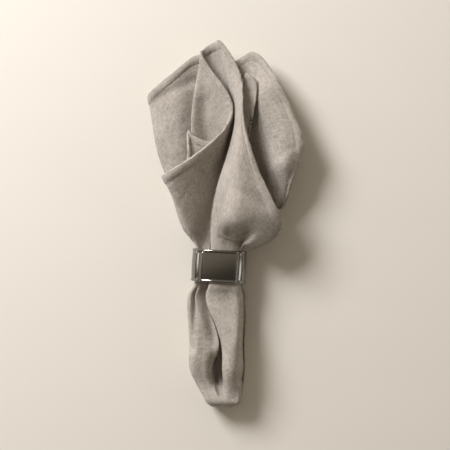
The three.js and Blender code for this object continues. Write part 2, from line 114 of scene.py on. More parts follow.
BACK_FOLDS = (
    ("leaf under", -2.9, 0.5, -16.6, 10.05, -31, 12.5, 7.4, -48.4, 51, 6.7, -59.2, 102, 6.4),
    ("leaf outline", -2, 0.5, -18.4, 11.55, -33.5, 11, 9.8, -51.9, 51, 9.6, -62.6, 104, 9.4),
    ("leaf middle", -0.4, 0.5, -12, 12.45, -26, 20, 11.2, -38, 76, 14.8, -42.5, 122, 14.4),
    ("leaf crevice", 1, 0.5, -6, 12.45, -16, 20, 8.9, -22, 84, 7.8, -21, 137.5, 10),
    ("back middle", 2.2, 0.5, -1, 12.45, -3, 22, 8.9, -4, 84, 7.8, -2, 128, 9),
    ("flap top", 3.5, 0.5, 4, 12.6, 7, 22, 9.2, 10, 84, 8.4, 9, 132.5, 12),
    ("flap corner", 4.8, 0.5, 6.5, 12.75, 12, 22, 9.7, 19, 84, 12.6, 23, 139, 17),
    ("flap upper", 6, 0.6, 9, 13.05, 20, 18, 10.6, 33, 70, 19, 44.4, 110.5, 27),
    ("flap middle", 7.2, 0.9, 11, 13.5, 26, 12, 12, 40, 56, 22.5, 59.7, 75.8, 33),
    ("flap low", 8.6, 1.6, 12.4, 14.1, 29.4, 7, 12.6, 39, 47, 22.4, 63, 62, 35.5),
    ("flap side", 9.2, 2, 13.4, 14.6, 30.4, 2.4, 12.6, 44, 26, 18, 55.5, 40, 27),
    ("flap turn", 9.8, 2.6, 14.2, 15.4, 28.6, -2.4, 13.4, 39.4, 6.4, 14, 45.4, 13, 18.6),
    ("flap over", 10.4, 3.4, 11.6, 16.4, 24.6, 1, 17.6, 31, 11, 20, 37, 17, 22),
    ("pleat under", 11, 4.2, 7, 16.42, 14, 12, 19.2, 15, 44, 19.8, 16, 72, 19.4),
    ("pleat inner", 11.4, 5, -1.5, 16.42, 4, 15, 18.4, 10, 49, 18.8, 13.4, 86, 17.8),
    ("pleat turn", 11.8, 5.8, -4.6, 17.8, 2, 16, 20.4, 8, 50, 20.8, 11.6, 88, 19.4),
    ("pleat top", 12.2, 6.8, 4, 19.5, 9, 16, 23.2, 10.6, 84, 23.5, 17, 121.5, 21),
    ("pleat edge", 12.6, 7.8, 8, 19.95, 12.5, 14, 24.4, 12.6, 76, 24.8, 25.2, 113.5, 22.5),
    ("pleat side", 12.9, 8.8, 9, 19.95, 14.2, 9, 24.8, 15, 66, 25.2, 24.6, 100, 23.5),
    ("pleat low", 13.2, 9.8, 11, 19.8, 16.6, 2, 25, 15.8, 50, 26, 20.2, 80, 25),
    ("pleat foot", 14.2, 12.4, 11.7, 19.58, 19.6, -4, 26.2, 19, 14, 28, 17, 60, 27),
    ("shoulder under", 14.8, 15.4, 12.3, 19.35, 22.6, -13, 27.2, 37, -5, 29.8, 42.5, 7.5, 31.6),
    ("shoulder turn", 15.4, 20, 13.5, 20.62, 25.5, -18.5, 29, 40, -9.5, 32.2, 45.5, 3.2, 34),
    ("shoulder", 13, 30.4, 11.6, 24, 17.6, -10, 39, 28.2, 4, 43, 38.2, 18, 42.4),
    ("panel right", 9.6, 33.6, 6, 27.97, 8.6, -4, 46, 14, 24, 49.6, 24, 49.3, 41),
    ("panel middle", 5.6, 34.6, -1, 30.15, 1.6, 0, 45, 8.4, 42, 46, 15, 84, 36),
    ("panel upper", 1.8, 34, -6.5, 30.53, -4.4, 7, 38.6, 6.4, 60, 36.4, 13.9, 112, 29.5),
    ("panel ridge", -1.5, 28, -11.6, 29.25, -9.4, 15.6, 28.6, 7.4, 79, 28, 8.5, 129.5, 24.5),
    ("ridge wall", -1.8, 14, -11.1, 23.62, -8.4, 15.6, 22, 7.6, 79, 22, -4.8, 147.6, 21),
    ("wall foot", -2.2, 6, -10.6, 17.62, -8.2, 15.6, 12.6, 6.2, 79, 13.4, -8.5, 146.3, 19),
    ("tuck under", -2.7, 3.4, -13.5, 14.55, -13, 18, 10.6, -9, 72, 9.8, -13.5, 143.8, 19),
    ("roll under", -3.3, 2.8, -18.6, 14.4, -20, 16.5, 12.4, -24.2, 78, 16.4, -17.4, 140.4, 21),
    ("roll ridge", -4, 2.4, -21, 15.6, -22.5, 16, 14.6, -26.8, 78, 21.2, -19, 138, 24),
    ("roll upper", -4.8, 3, -19.4, 17, -18.5, 20, 14.8, -18, 78, 18.2, -12.5, 126, 25.4),
    ("roll middle", -5.6, 3.7, -18.4, 17.2, -14, 16, 12.8, -9.5, 54, 11.9, 1.5, 106.4, 28),
    ("roll edge", -6.3, 4.4, -17.7, 17.3, -13, 15.4, 12.9, -6, 53, 11.9, 6.2, 94, 28),
    ("corner turn", -7, 5.1, -17, 17.4, -12.3, 15, 13.1, -3.8, 50.5, 13.2, 0, 72, 24),
    ("corner edge", -7.6, 5.8, -16.3, 17.5, -11.6, 14.6, 13.4, -12, 48, 16.8, -13, 66.6, 23.4),
    ("corner near", -8.1, 6.5, -15.6, 17.6, -11.3, 14.3, 13.6, -18, 47.5, 17.4, -24.4, 71, 23),
    ("corner tip", -8.6, 7.4, -15, 17.7, -11.1, 14, 13.8, -21.6, 46, 18.6, -29.4, 75.6, 22.6),
    ("corner low", -9.1, 8.5, -14.4, 17.85, -10.9, 13.7, 14, -21.8, 42, 20, -29.8, 62, 24.4),
    ("corner side", -9.6, 9.8, -13.8, 18.05, -10.7, 13.4, 14.3, -20.6, 38, 20.6, -28.5, 48, 26),
    ("corner back", -10.1, 11.6, -13.3, 18.4, -10.5, 12.9, 14.6, -9, 40, 15.8, -10, 55, 24),
    ("valley inner", -10.6, 14.6, -13.1, 18.95, -10.5, 12.4, 15, -3.6, 48, 13.8, 3.4, 85.6, 27.6),
)

# The layers that lie hidden under the fan. Each runs back over the one below from a turn at its far side.
# Lengths are in millimetres and angles in degrees.
HIDDEN_RING_PITCH = 2.7
HIDDEN_RING_ANGLE = 40
HIDDEN_TAIL_X = -17.4
HIDDEN_TAIL_STEP = 1.15
HIDDEN_SETTLED = 0.75
TURN_ROUNDING = 2
TURN_ROUNDING_ANGLE = 7
# The rows round a turn: the share of the way up to the next layer, and how far the row is drawn in
TURN_ROWS = ((0, 1), (0.5, 0), (1, 1))
HIDDEN_LOW_Y = 12
HIDDEN_HIGH_Y = 74
HIDDEN_COLUMNS = (
    "layer", "highZ", "endZ", "midX", "endX", "endY", "turnLowX", "turnX", "turnY", "turnEndX", "turnEndY",
)
HIDDEN_LAYERS = (
    ("first", 0.5, 0.5, -6, -9, 124, 22, 40, 42, 56, 70),
    ("second", 2.3, 2.3, -3, 1, 116, -23, -40, 56, -54, 96),
    ("third", 4.1, 4, -7, -11, 127, 24, 43, 38, 60, 63),
    ("fourth", 5.9, 5.7, -4, 3, 120, 0, 0, 0, 0, 0),
)

# The top of the tail is two lobes with a pocket between them, which closes in one lip
FIRST_LOBE_FOLD = "shoulder"
LAST_LOBE_FOLD = "front crest"
LIP_Z = 26
LIP_SQUEEZE = 0.664
LIP_SHIFT_X = 2.3

# All folds meet at the tip. Just below the ring they bulge to this many times their width and height in it.
# At the gather each has come a share of the way from the tail to the bulge, and the hidden layers lie this
# far apart.
TIP = (-1, TIP_Y, 8)
BULGE_SPREAD = 1.24
BULGE_HEIGHT = 0.95
GATHER_SPREAD = 0.05
FRONT_GATHER_SPREAD = -1
HIDDEN_GATHER_SPREAD = 0.02
HIDDEN_GATHER_PITCH = 1.4
GATHER_LIFT = 0.55

# The flat cloth is cut open here
SEAM_FOLD = "hidden 0"

# How finely the cloth is cut, along its length and across its folds
LEVEL_STEPS = (
    ("tip to lip", 7),
    ("lip to lobe", 8),
    ("lobe to gather", 7),
    ("gather to bulge", 9),
    ("bulge to ring", 6),
    ("through the ring", 5),
    ("ring to low fan", 16),
    ("low to high fan", 26),
    ("high fan to hem", 26),
)
STEPS_BETWEEN_FOLDS = 5
HIDDEN_STEPS = 2

# The turned hem, from its inner edge to the border: distance from the border and thickness, as shares of
# the hem's width and of its thickness. The dip at its inner edge is where the stitches pull it in.
HEM_PROFILE = (
    ("before", 1.12, 0.5),
    ("stitched", 1.0, 0.3),
    ("step", 0.9, 0.95),
    ("flat", 0.5, 1.0),
    ("edge", 0.09, 1.0),
    ("border", 0.0, 0.6),
)
STITCHED_ROW = 1

# Soft creases, crowns and troughs, listed one by one. Each lies on the layers from its first fold to
# the one after its last, along a line of three points in X and Y, with its width and how far it stands up,
# or lies in where that is negative. All are in millimetres. Some run on into other layers, named below.
CREASE_COLUMNS = ("crease", "first", "last", "x0", "y0", "x1", "y1", "x2", "y2", "width", "rise")
CREASES = (
    ("flap ironed", "flap top", "flap low", 62.5, 65.2, 49.6, 59.6, 36, 48.4, 2.4, -0.9),
    ("flap crown", "flap corner", "flap side", 30, 104, 45, 72, 42, 50, 11, 6),
    ("flap low crown", "flap upper", "flap turn", 48, 48, 48, 38, 43, 22, 8, 4),
    ("flap low margin", "flap middle", "flap turn", 68, 56, 61, 37, 51, 12, 6, -6),
    ("flap margin", "flap upper", "flap turn", 60, 102, 72, 66, 70, 52, 13, -11),
    ("tail left", "front middle", "left outline", -23.2, -48, -24.8, -72, -26, -100, 2.2, -2.8),
    ("tail valley", "valley", "front middle", -15.5, -52, -13, -70, -8.5, -90, 4.5, -5.5),
    ("tail side", "shoulder turn", "panel right", 16.5, -52, 16.8, -80, 13, -122, 4, -7),
    ("tail right ridge", "shoulder", "panel middle", 11, -52, 11.5, -70, 10, -95, 5, 2.4),
    ("tail slope", "shoulder turn", "valley inner", -28, -130, -6, -130, 14, -130, 14, -5),
    ("tail pocket", "roll edge", "valley inner", -9, -108, -9.5, -117, -8, -126, 3.4, -8),
    ("leaf top trough", "leaf outline", "leaf crevice", -54, 101, -38, 110, -24, 117, 4, -1.6),
    ("roll trough", "roll ridge", "roll edge", -17, 98, -17, 84, -16, 68, 5, -2),
    ("front valley", "valley", "front middle", -14, -10, -10.5, 12, -3, 48, 8, -5),
    ("ring hollow", "shoulder", "panel upper", 4, -7, 12, -9, 18, -13, 7.5, -9),
    ("panel trough", "shoulder", "panel middle", 5.6, 28.4, 18, 22, 29.6, 16.4, 6, -2.6),
)
CREASES_RUN_ON = (
    ("tail valley", "corner turn", "valley inner"),
    ("tail slope", "valley", "left outline"),
    ("tail pocket", "valley", "front low"),
    ("front valley", "roll middle", "valley inner"),
)

# Slight unevenness of the cloth, in millimetres
RIPPLE_LENGTH = 26
RIPPLE_HEIGHT = 0.55
FINE_RIPPLE_LENGTH = 9
FINE_RIPPLE_HEIGHT = 0.24
GATHER_REACH = 42
GATHER_HEIGHT = 0.75
GATHER_LENGTH = 5.5
PUCKER_LENGTH = 6
PUCKER_HEIGHT = 0.65
PUCKER_REACH = 14

# The unevenness fades out this close to the ring and to the table, in millimetres
RING_EASE = 8
TABLE_EASE = 6

# Gathers run this many times as far along the folds as across them
GATHER_STRETCH = 9

# Where each kind of unevenness is cut from the noise, so that no two are alike
RIPPLE_SLICE = 3.1
FINE_RIPPLE_SLICE = 7.7
GATHER_SLICE = 1.3
PUCKER_SLICE = 5.9

# Values below these count as nothing: the root of a gap between points, and the length of a normal
TOUCHING = 1e-4
NO_LENGTH = 1e-9

# Slubs of the linen are this many times as long as wide, come this often for each thread, and stand up this
# much. Cloudy patches, where the yarn is paler or darker, are about 25 mm across and give this share of the
# tone. The yarn is darkest below one tone and palest above another.
SLUB_STRETCH = 4
SLUB_SCALE = 0.8
THREAD_RELIEF = 0.6 * MM
MOTTLE_SIZE = 25 * MM
MOTTLE_SHARE = 0.3
DARKEST_TONE = 0.38
PALEST_TONE = 0.62

# The sewing thread has a twist every 0.56 mm
TWISTS_PER_METRE = 1800

# Wipe marks on the metal are about 4 mm long and 0.6 mm wide. Real ones are finer and wouldn't show.
WIPE_MARKS_PER_METRE = 260
WIPE_STRETCH = 6
WIPE_RELIEF = 0.2 * MM

# Brushed streaks of the paint are about 330 mm long and 37 mm wide
STREAKS_PER_METRE = 3
STREAK_STRETCH = 9

# The camera looks straight down from this height in metres, with this lens in millimetres
CAMERA_HEIGHT = 1.02
CAMERA_LENS = 100

# The floor reaches this far to each side, and the lamps hang this far from the middle, in metres
FLOOR_REACH = 3.0
LAMP_DISTANCE = 1.5

# The way to the soft key light, and the size in metres of two weak strip lights that show in the flutes of
# the ring, with the way to each
KEY_WAY = (-0.57, 0.57, 0.6)
STRIP_WIDTH = 0.25
STRIP_LENGTH = 0.3
STRIP_LIGHTS = (
    ("left_strip", (-0.92, 0.06, 0.4)),
    ("right_strip", (0.92, -0.15, 0.38)),
)

# How bright the studio is round the napkin: a dark ceiling between a bright wall beyond the fan and a dim
# one beyond the tail. Each row is a share of the way along Y and a brightness.
STUDIO_LIGHT = (
    ("dim wall", -1.0, 0.25),
    ("dim ceiling", -0.25, 0.12),
    ("dark ceiling", -0.1, 0.11),
    ("pale ceiling", 0.03, 0.46),
    ("high wall", 0.5, 0.42),
    ("bright wall", 1.0, 0.75),
)


def linear(colour):
    """Turns an sRGB hex colour into linear red, green and blue."""
    shares = [int(colour[start:start + 2], 16) / 255 for start in (0, 2, 4)]
    return [share / 12.92 if share <= 0.04045 else ((share + 0.055) / 1.055) ** 2.4 for share in shares]


def named_rows(columns, rows):
    """Turns a table's rows into dictionaries by column name."""
    return [dict(zip(columns, row)) for row in rows]


def mix(start, end, share):
    """Goes from start to end by a share."""
    return start + (end - start) * share


def smooth_between(before, start, end, after, share):
    """Reads a smooth curve through four points, or rows of points, between the second and the third."""
    def spacing(first, second):
        return np.linalg.norm(second - first, axis=-1, keepdims=True) ** 0.5

    middle = spacing(start, end)
    middle = np.where(middle < TOUCHING, 1, middle)
    early = spacing(before, start)
    early = np.where(early < TOUCHING, middle, early)
    late = spacing(end, after)
    late = np.where(late < TOUCHING, middle, late)
    leave = (start - before) / early - (end - before) / (early + middle) + (end - start) / middle
    arrive = (end - start) / middle - (after - start) / (middle + late) + (after - end) / late
    leave = leave * middle
    arrive = arrive * middle
    square = 3 * (end - start) - 2 * leave - arrive
    cube = 2 * (start - end) + leave + arrive
    return start + leave * share + square * share ** 2 + cube * share ** 3


def ring_axis_x(y):
    """Where the ring's axis stands at a level, as it lies a little turned."""
    return RING_X - (y - RING_Y) * math.tan(math.radians(RING_TURN_DEG))


def hidden_folds():
    """The rows of the hidden layers: the middle of each, and three rows round its turn to the next."""
    folds = []
    layers = named_rows(HIDDEN_COLUMNS, HIDDEN_LAYERS)

    def add_fold(high_z, end_z, height, angle, low_x, high, end):
        reach = PACKED_RADIUS - height * HIDDEN_RING_PITCH
        ring_z = RING_MIDDLE_Z - reach * math.cos(math.radians(angle)) * RING_FLATNESS
        folds.append({
            "fold": f"hidden {len(folds)}",
            "tailX": HIDDEN_TAIL_X + len(folds) * HIDDEN_TAIL_STEP,
            "tailZ": LYING_Z,
            "ringX": RING_X + reach * math.sin(math.radians(angle)),
            "ringZ": ring_z,
            "lowX": low_x, "lowY": HIDDEN_LOW_Y, "lowZ": mix(ring_z, high_z, HIDDEN_SETTLED),
            "highX": high[0], "highY": high[1], "highZ": high_z,
            "endX": end[0], "endY": end[1], "endZ": end_z,
            "steps": HIDDEN_STEPS,
            "gatherSpread": HIDDEN_GATHER_SPREAD,
            "gatherZ": LYING_Z + height * HIDDEN_GATHER_PITCH,
        })

    for height, layer in enumerate(layers):
        middle = (layer["midX"], HIDDEN_HIGH_Y)
        end = (layer["endX"], layer["endY"])
        add_fold(layer["highZ"], layer["endZ"], height, 0, layer["midX"], middle, end)
        if height + 1 == len(layers):
            break
        above = layers[height + 1]
        side = math.copysign(1, layer["turnX"])
        for share, inset in TURN_ROWS:
            pull = side * inset * TURN_ROUNDING
            add_fold(
                mix(layer["highZ"], above["highZ"], share),
                mix(layer["endZ"], above["endZ"], share),
                height + share,
                side * (HIDDEN_RING_ANGLE - inset * TURN_ROUNDING_ANGLE),
                layer["turnLowX"] - pull,
                (layer["turnX"] - pull, layer["turnY"]),
                (layer["turnEndX"] - pull, layer["turnEndY"]),
            )
    return folds


def all_folds():
    """Every fold in its order round the cloth.

    The gather draws the front over the pocket: most at the valley, not at all from the front's crest on.
    """
    front = named_rows(FOLD_COLUMNS, FRONT_FOLDS)
    crest = [fold["fold"] for fold in front].index(LAST_LOBE_FOLD)
    for index, fold in enumerate(front):
        fold["gatherSpread"] = FRONT_GATHER_SPREAD * max(0, 1 - index / crest)
    folds = front + hidden_folds() + named_rows(FOLD_COLUMNS, BACK_FOLDS)
    names = [fold["fold"] for fold in folds]
    first, last = names.index(FIRST_LOBE_FOLD), names.index(LAST_LOBE_FOLD)
    for index, fold in enumerate(folds):
        fold["lobed"] = index >= first or index <= last
        fold.setdefault("steps", STEPS_BETWEEN_FOLDS)
        fold.setdefault("gatherSpread", GATHER_SPREAD)
    return folds


def fold_levels(fold):
    """The levels that one fold passes through, from the lip of the tail to the border."""
    lip_z = LIP_Z if fold["lobed"] else fold["tailZ"]
    ring_side = fold["ringX"] - RING_X
    bulge_x = ring_axis_x(BULGE_Y) + ring_side * BULGE_SPREAD
    bulge_z = (fold["ringZ"] - BORE_FLOOR_Z) * BULGE_HEIGHT + LYING_Z
    gather_x = mix(fold["tailX"], bulge_x, fold["gatherSpread"])
    gather_z = fold.get("gatherZ", mix(fold["tailZ"], bulge_z, GATHER_LIFT))
    return np.array([
        (LIP_SHIFT_X + fold["tailX"] * LIP_SQUEEZE, LIP_Y, lip_z),
        (fold["tailX"], LOBE_Y, fold["tailZ"]),
        (gather_x, GATHER_Y, gather_z),
        (bulge_x, BULGE_Y, bulge_z),
        (ring_axis_x(RING_LOW_Y) + ring_side, RING_LOW_Y, fold["ringZ"]),
        (ring_axis_x(RING_HIGH_Y) + ring_side, RING_HIGH_Y, fold["ringZ"]),
        (fold["lowX"], fold["lowY"], fold["lowZ"]),
        (fold["highX"], fold["highY"], fold["highZ"]),
        (fold["endX"], fold["endY"], fold["endZ"]),
    ], dtype=float)


def fold_points(fold, hem_width):
    """One fold as a row of points, from beside the tip to the border, with the hem's rows at its end."""
    levels = fold_levels(fold)
    lip = levels[0]
    points = []
    for step in range(1, LEVEL_STEPS[0][1]):
        angle = math.pi / 2 * step / LEVEL_STEPS[0][1]
        point = mix(np.array(TIP, dtype=float), lip, math.sin(angle))
        point[1] = mix(lip[1], TIP_Y, math.cos(angle))
        points.append(point)
    points.append(lip)
    for index in range(len(levels) - 1):
        start, end = levels[index], levels[index + 1]
        before = levels[max(index - 1, 0)]
        steps = LEVEL_STEPS[index + 1][1]
        shares = [step / steps for step in range(1, steps + 1)]
        if index + 2 < len(levels):
            after = levels[index + 2]
        else:
            after = end + (end - start) / 2
            hem_share = hem_width / np.linalg.norm(end - start)
            hem_starts = 1 - HEM_PROFILE[0][1] * hem_share
            shares = [share * hem_starts for share in shares[:-1]]
            shares += [1 - row[1] * hem_share for row in HEM_PROFILE]
        points += [smooth_between(before, start, end, after, share) for share in shares]
    return np.array(points)


def grid_normals(grid):
    """The normal at each point of a grid that is closed across and open along."""
    across = np.roll(grid, -1, axis=0) - np.roll(grid, 1, axis=0)
    along = np.empty_like(grid)
    along[:, 1:-1] = grid[:, 2:] - grid[:, :-2]
    along[:, 0] = grid[:, 1] - np.array(TIP)
    along[:, -1] = grid[:, -1] - grid[:, -2]
    normals = np.cross(across, along)
    return normals / np.maximum(np.linalg.norm(normals, axis=-1, keepdims=True), NO_LENGTH)


def flat_places(grid, seam):
    """Where each point lies on the flat cloth, cut open at the seam, and how far it is from the tip."""
    steps = np.linalg.norm(np.diff(grid, axis=1), axis=-1)
    first = np.linalg.norm(grid[:, :1] - np.array(TIP), axis=-1)
    reach = np.concatenate([first, first + np.cumsum(steps, axis=1)], axis=1)
    level = sum(count for _, count in LEVEL_STEPS[:-1])
    rolled = np.roll(grid, -seam, axis=0)
    gaps = np.linalg.norm(np.roll(rolled, -1, axis=0)[:, level] - rolled[:, level], axis=-1)
    turns = gaps / np.roll(reach, -seam, axis=0)[:, level]
    angles = np.concatenate([[0], np.cumsum(turns)])
    reach = np.concatenate([np.roll(reach, -seam, axis=0), reach[seam:seam + 1]], axis=0)
    return np.stack([reach * np.cos(angles)[:, None], reach * np.sin(angles)[:, None]], axis=-1), reach


def crease_rises(grid, places, fold_names):
    """How far the listed creases lift or lower each point."""
    rises = np.zeros(grid.shape[:2])
    for crease in named_rows(CREASE_COLUMNS, CREASES):
        spans = [(crease["first"], crease["last"])]
        spans += [(first, last) for name, first, last in CREASES_RUN_ON if name == crease["crease"]]
        on_layer = np.zeros(len(places), dtype=bool)
        for first, last in spans:
            on_layer |= (places >= fold_names.index(first)) & (places < fold_names.index(last) + 1)
        corners = [np.array((crease[f"x{index}"], crease[f"y{index}"]), dtype=float) for index in range(3)]
        nearest = np.full(grid.shape[:2], np.inf)
        for start, end in zip(corners, corners[1:]):
            line = end - start
            share = np.clip(((grid[:, :, :2] - start) @ line) / (line @ line), 0, 1)
            away = grid[:, :, :2] - (start + share[..., None] * line)
            nearest = np.minimum(nearest, np.linalg.norm(away, axis=-1))
        rises += crease["rise"] * np.exp(-(nearest / crease["width"]) ** 2) * on_layer[:, None]
    return rises


def wave(places, length, cut):
    """Smooth noise over places on the cloth, about one wave for each length, from one cut of the noise."""
    shape = places.shape[:2]
    flat = places.reshape(-1, 2) / length
    return np.array([noise.noise(Vector((u, v, cut))) for u, v in flat]).reshape(shape)


def unevenness(grid, flat, reach):
    """How far ripples, gathers beside the ring and puckers along the hem push each point out."""
    along_y = grid[:, :, 1]
    from_ring = np.where(along_y > RING_Y, along_y - RING_HIGH_Y, RING_LOW_Y - along_y)
    off_ring = np.clip(from_ring / RING_EASE, 0, 1)
    near_ring = np.exp(-(np.maximum(from_ring, 0) / GATHER_REACH) ** 2) * off_ring
    off_table = np.clip((grid[:, :, 2] - LYING_Z) / TABLE_EASE, 0, 1)
    across = np.cumsum(np.linalg.norm(np.roll(grid, -1, axis=0) - grid, axis=-1), axis=0)
    from_border = reach[:, -1:] - reach
    along_folds = np.stack([across, reach / GATHER_STRETCH], axis=-1)
    along_hem = np.stack([across, from_border], axis=-1)

    ripple = RIPPLE_HEIGHT * wave(flat, RIPPLE_LENGTH, RIPPLE_SLICE)
    fine_ripple = FINE_RIPPLE_HEIGHT * wave(flat, FINE_RIPPLE_LENGTH, FINE_RIPPLE_SLICE)
    gather = GATHER_HEIGHT * near_ring * wave(along_folds, GATHER_LENGTH, GATHER_SLICE)
    near_border = np.exp(-(from_border / PUCKER_REACH) ** 2)
    pucker = PUCKER_HEIGHT * near_border * wave(along_hem, PUCKER_LENGTH, PUCKER_SLICE)
    return ((ripple + fine_ripple) * off_ring + gather + pucker) * off_table


def cloth_surface(hem_width):
    """The middle of the cloth as a grid, its flat places, and the seam where the flat cloth is cut open."""
    folds = all_folds()
    rows = np.array([fold_points(fold, hem_width) for fold in folds])
    count = len(rows)
    columns = []
    places = []
    for index, fold in enumerate(folds):
        near = [rows[(index + offset) % count] for offset in (-1, 0, 1, 2)]
        for step in range(fold["steps"]):
            share = step / fold["steps"]
            columns.append(smooth_between(*near, share))
            places.append(index + share)
    grid = np.array(columns)
    places = np.array(places)
    fold_names = [fold["fold"] for fold in folds]
    seam = int(np.argmax(places >= fold_names.index(SEAM_FOLD)))
    flat, reach = flat_places(grid, seam)
    closed_flat = np.roll(flat[:-1], seam, axis=0)
    closed_reach = np.roll(reach[:-1], seam, axis=0)
    shift = unevenness(grid, closed_flat, closed_reach)
    grid = grid + grid_normals(grid) * shift[..., None]
    grid[:, :, 2] += crease_rises(grid, places, fold_names)
    grid[:, :, 2] = np.maximum(grid[:, :, 2], LYING_Z)
    return grid, flat, seam


def cloth_mesh(name, grid, flat, seam, thickness, hem_thickness):
    """The cloth's two faces, joined along the border, with one point each at the tip."""
    normals = grid_normals(grid)
    columns, levels = grid.shape[:2]
    thick = np.full(levels, thickness)
    for index, (_, _, share) in enumerate(HEM_PROFILE):
        thick[levels - len(HEM_PROFILE) + index] = share * hem_thickness
    offset = normals * (thick / 2)[None, :, None]
    outer = grid + offset
    inner = grid - offset
    tip = np.array(TIP)
    half = np.array((0, thickness / 2, 0))
    points = np.concatenate([outer.reshape(-1, 3), inner.reshape(-1, 3), [tip - half, tip + half]])
    points[:, 2] = np.maximum(points[:, 2], LOWEST_Z)
    side = columns * levels
    outer_tip, inner_tip = 2 * side, 2 * side + 1

    def at(column, level, face):
        return face * side + (column % columns) * levels + level

    faces = []
    spots = []
    for column in range(columns):
        beside = column + 1
        flat_column = (column - seam) % columns
        left, right = flat[flat_column], flat[flat_column + 1]
        faces.append((outer_tip, at(beside, 0, 0), at(column, 0, 0)))
        faces.append((inner_tip, at(column, 0, 1), at(beside, 0, 1)))
        spots += [left[0], right[0], left[0], left[0], left[0], right[0]]
        for level in range(levels - 1):
            up = level + 1
            faces.append((at(column, level, 0), at(beside, level, 0), at(beside, up, 0), at(column, up, 0)))
            spots += [left[level], right[level], right[up], left[up]]
            faces.append((at(column, level, 1), at(column, up, 1), at(beside, up, 1), at(beside, level, 1)))
            spots += [left[level], left[up], right[up], right[level]]
        top = levels - 1
        faces.append((at(column, top, 0), at(beside, top, 0), at(beside, top, 1), at(column, top, 1)))
        spots += [left[top], right[top], right[top], left[top]]
    mesh = bpy.data.meshes.new(name)
    mesh.from_pydata((points * MM).tolist(), [], faces)
    weave = mesh.uv_layers.new(name="weave")
    weave.data.foreach_set("uv", (np.array(spots) * MM).ravel())
    mesh.polygons.foreach_set("use_smooth", [True] * len(faces))
    mesh.update()
    return mesh


def add_node(tree, kind, inputs=(), **settings):
    """Adds a node with its settings. Each input is a value or the output socket of another node.

    Inputs are keyed by name, or by number on the math and mix nodes, whose sockets share their names.
    """
    node = tree.nodes.new(kind)
    for name, value in settings.items():
        setattr(node, name, value)
    for key, value in dict(inputs).items():
        if isinstance(value, bpy.types.NodeSocket):
            tree.links.new(value, node.inputs[key])
        else:
            node.inputs[key].default_value = value
    return node


def new_material(name):
    """A material with an empty node tree, a shader and an output."""
    material = bpy.data.materials.new(name)
    material.use_nodes = True
    tree = material.node_tree
    tree.nodes.clear()
    shader = add_node(tree, "ShaderNodeBsdfPrincipled")
    add_node(tree, "ShaderNodeOutputMaterial", {"Surface": shader.outputs["BSDF"]})
    return material, tree, shader


def washed_linen(cloth):
    """Washed flax linen in a plain weave.

    Its uneven slub threads run both ways, and it has no shine and a little fuzz at its edges. Real threads
    lie about 0.5 mm apart. They are drawn coarser, because they wouldn't show in the render.
    """
    material, tree, shader = new_material("washed_flax_linen")
    weave = add_node(tree, "ShaderNodeUVMap", uv_map="weave")
    threads = 1 / cloth.thread_spacing
    slubs = threads / SLUB_STRETCH
    heights = []
    for name, scale in (("warp", (threads, slubs, 1)), ("weft", (slubs, threads, 1))):
        place = add_node(
            tree, "ShaderNodeMapping", {"Vector": weave.outputs["UV"], "Scale": scale}, label=name)
        slub = add_node(tree, "ShaderNodeTexNoise", {
            "Vector": place.outputs["Vector"], "Scale": SLUB_SCALE, "Detail": 2.0, "Roughness": 0.6})
        heights.append(slub.outputs["Fac"])
    both = add_node(tree, "ShaderNodeMath", {0: heights[0], 1: heights[1]}, operation="ADD")
    height = add_node(tree, "ShaderNodeMath", {0: both.outputs[0], 1: 0.5}, operation="MULTIPLY")
    mottle = add_node(tree, "ShaderNodeTexNoise", {
        "Vector": weave.outputs["UV"], "Scale": 1 / MOTTLE_SIZE, "Detail": 4.0})
    blend = add_node(tree, "ShaderNodeMix", {
        0: MOTTLE_SHARE, 2: height.outputs[0], 3: mottle.outputs["Fac"]}, data_type="FLOAT")
    tones = add_node(tree, "ShaderNodeValToRGB", {"Fac": blend.outputs[0]})
    tones.color_ramp.elements[0].position = DARKEST_TONE
    tones.color_ramp.elements[0].color = (*cloth.dark_thread, 1)
    tones.color_ramp.elements[1].position = PALEST_TONE
    tones.color_ramp.elements[1].color = (*cloth.pale_thread, 1)
    bump = add_node(tree, "ShaderNodeBump", {
        "Height": height.outputs[0], "Strength": 0.95, "Distance": THREAD_RELIEF})
    tree.links.new(tones.outputs["Color"], shader.inputs["Base Color"])
    tree.links.new(bump.outputs["Normal"], shader.inputs["Normal"])
    shader.inputs["Roughness"].default_value = 0.92
    shader.inputs["Specular IOR Level"].default_value = 0.15
    shader.inputs["Sheen Weight"].default_value = 0.12
    shader.inputs["Sheen Roughness"].default_value = 0.6
    return material


def linen_thread(cloth):
    """Spun linen sewing thread in the shades of the cloth, with its twist as fine bands."""
    material, tree, shader = new_material("spun_linen_thread")
    place = add_node(tree, "ShaderNodeTexCoord")
    twist = add_node(tree, "ShaderNodeTexNoise", {
        "Vector": place.outputs["Object"], "Scale": TWISTS_PER_METRE, "Detail": 1.0})
    tones = add_node(tree, "ShaderNodeValToRGB", {"Fac": twist.outputs["Fac"]})
    tones.color_ramp.elements[0].color = (*cloth.dark_thread, 1)
    tones.color_ramp.elements[1].color = (*cloth.pale_thread, 1)
    tree.links.new(tones.outputs["Color"], shader.inputs["Base Color"])
    shader.inputs["Roughness"].default_value = 0.8
    return material


